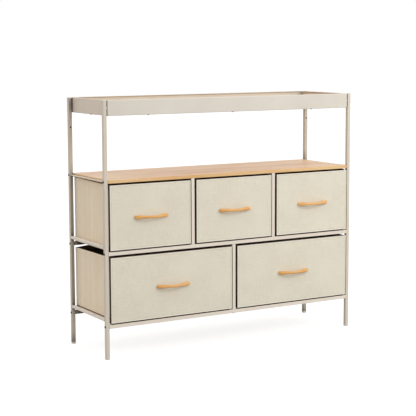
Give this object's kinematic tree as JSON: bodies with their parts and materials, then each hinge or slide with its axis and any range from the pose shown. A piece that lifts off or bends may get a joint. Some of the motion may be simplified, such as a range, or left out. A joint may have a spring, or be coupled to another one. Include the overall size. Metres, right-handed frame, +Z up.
{
  "type": "fabric drawer dresser",
  "caption": "Steel-tube storage dresser with a row of small fabric drawers over wide ones, bowed handles, a wood shelf board and a raised-edge tray on top.",
  "frame": {"origin": "on the floor, at the centre of the footprint of the whole dresser, handles and bolt heads included", "axes": "+Z up; +X along the width, to the right as seen from the front; the drawer fronts face -Y"},
  "size_m": [1.005, 0.314, 0.865],
  "materials": {
    "frame_paint": "satin powder coat, warm cream",
    "leg_plastic": "matt, pale cream",
    "dark_bolt": "blackened",
    "zinc_screw": "zinc plated",
    "shelf_wood": "printed light oak, satin",
    "tray_wood": "printed light oak, satin",
    "drawer_fabric": "woven, matt, cream",
    "stiffener": "plain fibreboard",
    "handle_wood": "light wood, satin lacquer"
  },
  "bodies": {
    "frame": {"leg_front_left": "frame_paint", "leg_back_left": "frame_paint", "lower_side_rail_left": "frame_paint", "middle_side_rail_left": "frame_paint", "upper_side_rod_left": "frame_paint", "leg_front_right": "frame_paint", "leg_back_right": "frame_paint", "lower_side_rail_right": "frame_paint", "middle_side_rail_right": "frame_paint", "upper_side_rod_right": "frame_paint", "leg_feet": "leg_plastic", "leg_top_caps": "leg_plastic", "lower_rail_front": "frame_paint", "middle_rail_front": "frame_paint", "upper_left_post_front": "frame_paint", "upper_right_post_front": "frame_paint", "lower_post_front": "frame_paint", "lower_rail_back": "frame_paint", "middle_rail_back": "frame_paint", "upper_left_post_back": "frame_paint", "upper_right_post_back": "frame_paint", "lower_post_back": "frame_paint", "upper_left_divider_bar": "frame_paint", "upper_right_divider_bar": "frame_paint", "lower_divider_bar": "frame_paint", "shelf_board": "shelf_wood", "frame_bolts": "dark_bolt", "post_bolts": "dark_bolt", "tray_front_panel": "frame_paint", "tray_back_panel": "frame_paint", "tray_left_panel": "frame_paint", "tray_right_panel": "frame_paint", "tray_floor_board": "tray_wood", "tray_floor_screws": "dark_bolt", "tray_bolts": "dark_bolt"},
    "upper_left_drawer": {"upper_left_drawer_body": "drawer_fabric", "upper_left_drawer_front": "drawer_fabric", "upper_left_drawer_bottom_board": "stiffener", "upper_left_drawer_handle": "handle_wood", "upper_left_drawer_handle_screws": "zinc_screw"},
    "upper_middle_drawer": {"upper_middle_drawer_body": "drawer_fabric", "upper_middle_drawer_front": "drawer_fabric", "upper_middle_drawer_bottom_board": "stiffener", "upper_middle_drawer_handle": "handle_wood", "upper_middle_drawer_handle_screws": "zinc_screw"},
    "upper_right_drawer": {"upper_right_drawer_body": "drawer_fabric", "upper_right_drawer_front": "drawer_fabric", "upper_right_drawer_bottom_board": "stiffener", "upper_right_drawer_handle": "handle_wood", "upper_right_drawer_handle_screws": "zinc_screw"},
    "lower_left_drawer": {"lower_left_drawer_body": "drawer_fabric", "lower_left_drawer_front": "drawer_fabric", "lower_left_drawer_bottom_board": "stiffener", "lower_left_drawer_handle": "handle_wood", "lower_left_drawer_handle_screws": "zinc_screw"},
    "lower_right_drawer": {"lower_right_drawer_body": "drawer_fabric", "lower_right_drawer_front": "drawer_fabric", "lower_right_drawer_bottom_board": "stiffener", "lower_right_drawer_handle": "handle_wood", "lower_right_drawer_handle_screws": "zinc_screw"}
  },
  "joints": [
    {"name": "upper_left_drawer_slide", "type": "slide", "parent": "frame", "child": "upper_left_drawer", "axis": [0, -1, 0], "range_m": [0, 0.25]},
    {"name": "upper_middle_drawer_slide", "type": "slide", "parent": "frame", "child": "upper_middle_drawer", "axis": [0, -1, 0], "range_m": [0, 0.25]},
    {"name": "upper_right_drawer_slide", "type": "slide", "parent": "frame", "child": "upper_right_drawer", "axis": [0, -1, 0], "range_m": [0, 0.25]},
    {"name": "lower_left_drawer_slide", "type": "slide", "parent": "frame", "child": "lower_left_drawer", "axis": [0, -1, 0], "range_m": [0, 0.25]},
    {"name": "lower_right_drawer_slide", "type": "slide", "parent": "frame", "child": "lower_right_drawer", "axis": [0, -1, 0], "range_m": [0, 0.25]}
  ]
}
